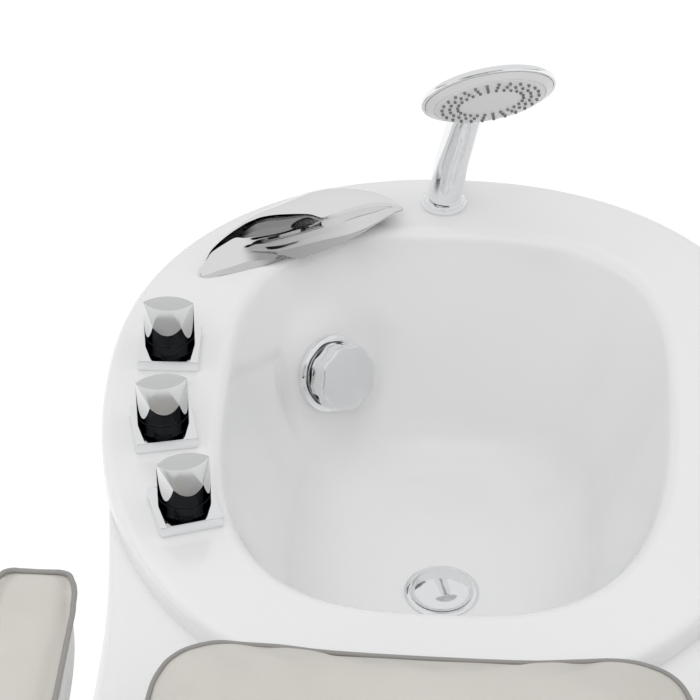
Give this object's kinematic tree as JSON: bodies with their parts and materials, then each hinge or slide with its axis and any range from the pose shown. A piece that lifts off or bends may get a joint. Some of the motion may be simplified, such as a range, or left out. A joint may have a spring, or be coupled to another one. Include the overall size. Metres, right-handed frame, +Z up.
{
  "type": "pedicure spa chair",
  "caption": "Pedicure spa chair: deep white foot bath with chrome deck fittings, hand shower and waterfall spout, before a sliding, reclining padded seat with lift-up arms.",
  "frame": {"origin": "on the floor under the middle of the whole chair's length and width", "axes": "+Z up, +Y from the foot bath to the backrest, +X to the seated person's left when facing the bath is -X, so +X is the side with the control knobs"},
  "size_m": [0.68, 1.6608, 1.1991],
  "materials": {
    "gelcoat": "white gelcoat, gloss",
    "chassis": "black powder coat",
    "zinc": "zinc plated steel",
    "panel": "fine grained white",
    "chrome": "mirror chrome",
    "dark_chrome": "dark mirror chrome",
    "brass": "machined brass",
    "copper": "drawn copper pipe",
    "grey_plastic": "grey moulded plastic",
    "white_plastic": "white moulded plastic",
    "nozzle_rubber": "grey silicone nozzles",
    "leather": "light grey upholstery leather, fine grain"
  },
  "bodies": {
    "base": {"base_frame": "chassis", "base_posts": "chassis", "levelling_feet": "zinc", "base_shell": "gelcoat", "seat_plinth": "gelcoat", "service_panel": "panel", "panel_screws": "zinc", "cable_gland": "grey_plastic", "foot_bath": "gelcoat", "spout_body": "chrome", "spout_shank": "brass", "hot_plate": "chrome", "diverter_plate": "chrome", "cold_plate": "chrome", "hot_valve": "brass", "diverter_valve": "brass", "cold_valve": "brass", "knob_collars": "dark_chrome", "overflow_bezel": "chrome", "overflow_elbow": "grey_plastic", "waste_flange": "chrome", "waste_pipe": "grey_plastic", "shower_holder": "chrome", "hot_pipe": "copper", "cold_pipe": "copper", "mixed_pipe": "copper", "jet_housing": "grey_plastic", "jet_cover": "white_plastic", "jet_motor": "zinc", "button_bezel": "chrome", "seat_rails": "zinc"},
    "hot_knob": {"hot_knob": "chrome"},
    "diverter_knob": {"diverter_knob": "chrome"},
    "cold_knob": {"cold_knob": "chrome"},
    "drain_knob": {"drain_knob": "chrome", "drain_knob_screw": "dark_chrome"},
    "stopper": {"drain_stopper": "chrome"},
    "hand_shower": {"hand_shower": "chrome", "shower_face": "white_plastic", "shower_nozzles": "nozzle_rubber"},
    "impeller": {"jet_impeller": "white_plastic"},
    "jet_button": {"jet_button": "chrome"},
    "seat": {"seat_runners": "zinc", "seat_frame": "chassis", "seat_pan": "grey_plastic", "seat_cushion": "leather", "arm_brackets": "chassis", "recliner_discs": "dark_chrome"},
    "slide_bar": {"slide_bar": "chrome"},
    "recline_lever": {"recline_lever": "grey_plastic"},
    "back": {"back_frame": "chassis", "back_shell": "panel", "back_cushion": "leather"},
    "headrest": {"headrest_posts": "chrome", "headrest_cushion": "leather"},
    "arm_left": {"armrest_left": "panel", "arm_pad_left": "leather"},
    "arm_right": {"armrest_right": "panel", "arm_pad_right": "leather"}
  },
  "joints": [
    {"name": "hot_knob_turn", "type": "hinge", "parent": "base", "child": "hot_knob", "pos_m": [0.28, -0.5014, 0.492], "axis": [0, 0, 1], "range_deg": [0, 90]},
    {"name": "diverter_knob_turn", "type": "hinge", "parent": "base", "child": "diverter_knob", "pos_m": [0.272, -0.3784, 0.492], "axis": [0, 0, 1], "range_deg": [0, 90]},
    {"name": "cold_knob_turn", "type": "hinge", "parent": "base", "child": "cold_knob", "pos_m": [0.238, -0.2624, 0.492], "axis": [0, 0, 1], "range_deg": [0, 90]},
    {"name": "drain_knob_turn", "type": "hinge", "parent": "base", "child": "drain_knob", "pos_m": [0.13472, -0.64225, 0.351], "axis": [-0.6843, 0.6524, 0.3256], "range_deg": [0, 90]},
    {"name": "stopper_lift", "type": "slide", "parent": "base", "child": "stopper", "axis": [0, 0, 1], "range_m": [0, 0.01]},
    {"name": "hand_shower_lift", "type": "slide", "parent": "base", "child": "hand_shower", "axis": [0, 0, 1], "range_m": [0, 0.048]},
    {"name": "impeller_spin", "type": "hinge", "parent": "base", "child": "impeller", "pos_m": [0, -0.19646, 0.33], "axis": [0.0004, -0.9455, 0.3256], "continuous": true},
    {"name": "jet_button_press", "type": "slide", "parent": "base", "child": "jet_button", "axis": [0, 0, -1], "range_m": [0, 0.003], "stiffness_N_per_m": 300, "springref_m": -0.001},
    {"name": "seat_slide", "type": "slide", "parent": "base", "child": "seat", "axis": [0, 1, 0], "range_m": [-0.1, 0.12]},
    {"name": "slide_bar_lift", "type": "hinge", "parent": "seat", "child": "slide_bar", "pos_m": [0, 0.0916, 0.508], "axis": [-1, 0, 0], "range_deg": [0, 5], "stiffness_Nm_per_rad": 4, "springref_deg": -5.73},
    {"name": "recline_lever_lift", "type": "hinge", "parent": "seat", "child": "recline_lever", "pos_m": [0.253, 0.5266, 0.585], "axis": [-1, 0, 0], "range_deg": [0, 25], "stiffness_Nm_per_rad": 1.5, "springref_deg": -5.73},
    {"name": "back_recline", "type": "hinge", "parent": "seat", "child": "back", "pos_m": [0, 0.5266, 0.585], "axis": [-1, 0, 0], "range_deg": [0, 38]},
    {"name": "headrest_height", "type": "slide", "parent": "back", "child": "headrest", "axis": [0, 0.4067, 0.9135], "range_m": [0, 0.06]},
    {"name": "arm_left_lift", "type": "hinge", "parent": "seat", "child": "arm_left", "pos_m": [0.3, 0.4316, 0.722], "axis": [-1, 0, 0], "range_deg": [0, 80]},
    {"name": "arm_right_lift", "type": "hinge", "parent": "seat", "child": "arm_right", "pos_m": [-0.3, 0.4316, 0.722], "axis": [-1, 0, 0], "range_deg": [0, 80]}
  ],
  "couplings": [
    {"joint": "stopper_lift", "follows": "drain_knob_turn", "m_per_rad": 0.006366}
  ]
}
